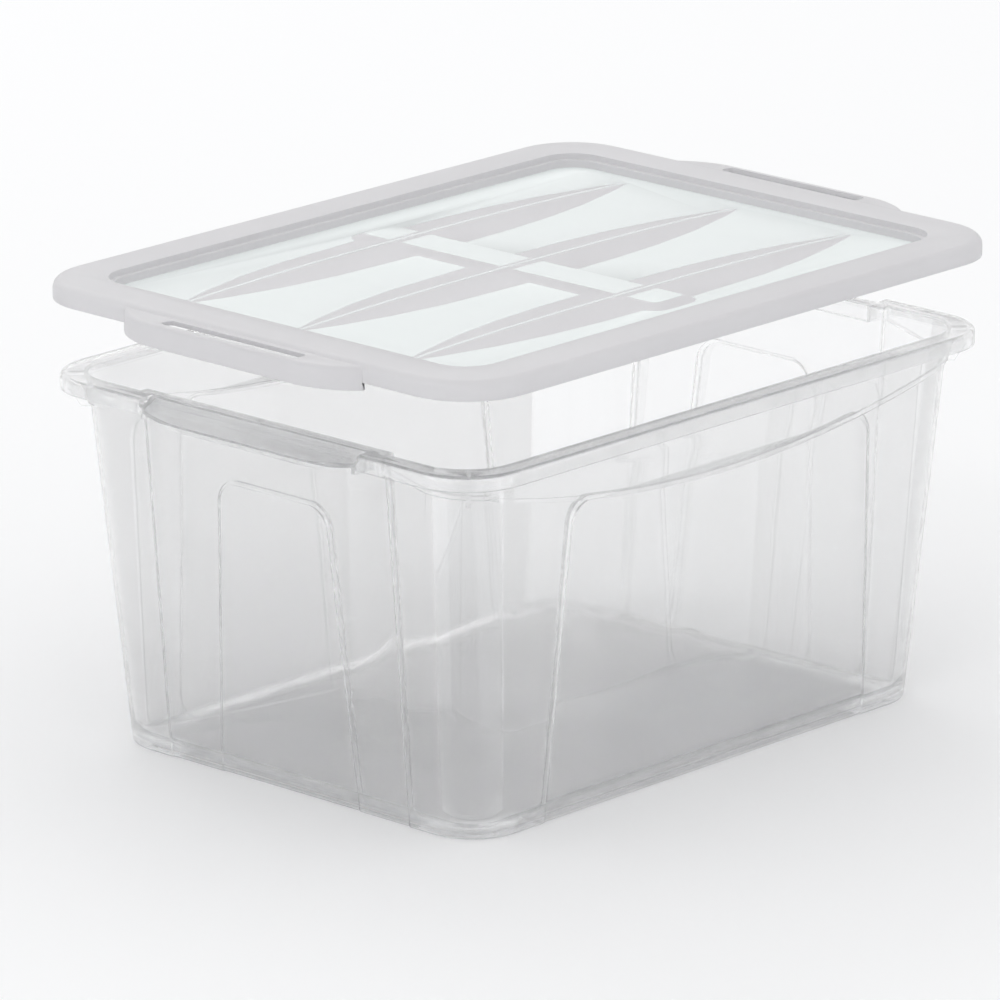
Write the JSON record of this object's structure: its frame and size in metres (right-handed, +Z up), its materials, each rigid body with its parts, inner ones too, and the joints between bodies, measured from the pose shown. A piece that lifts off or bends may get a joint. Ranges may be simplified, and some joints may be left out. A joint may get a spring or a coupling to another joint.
{
  "type": "lidded storage box",
  "caption": "Clear tapered plastic storage box for shoes with a rimmed tub, side grips and a ribbed lift-off lid",
  "frame": {"origin": "underside of the tub at the middle of its foot, on the floor", "axes": "+X along the long side, +Y along the short side, +Z up; the lid lifts along +Z"},
  "size_m": [0.434, 0.308, 0.2457],
  "materials": {
    "clear_plastic": "clear, polished",
    "milky_plastic": "translucent, soft gloss"
  },
  "bodies": {
    "tub": {"tub": "clear_plastic"},
    "lid": {"lid": "milky_plastic"}
  },
  "joints": [
    {"name": "lid_lift", "type": "slide", "parent": "tub", "child": "lid", "axis": [0, 0, 1], "range_m": [-0.046, 0.054]}
  ]
}
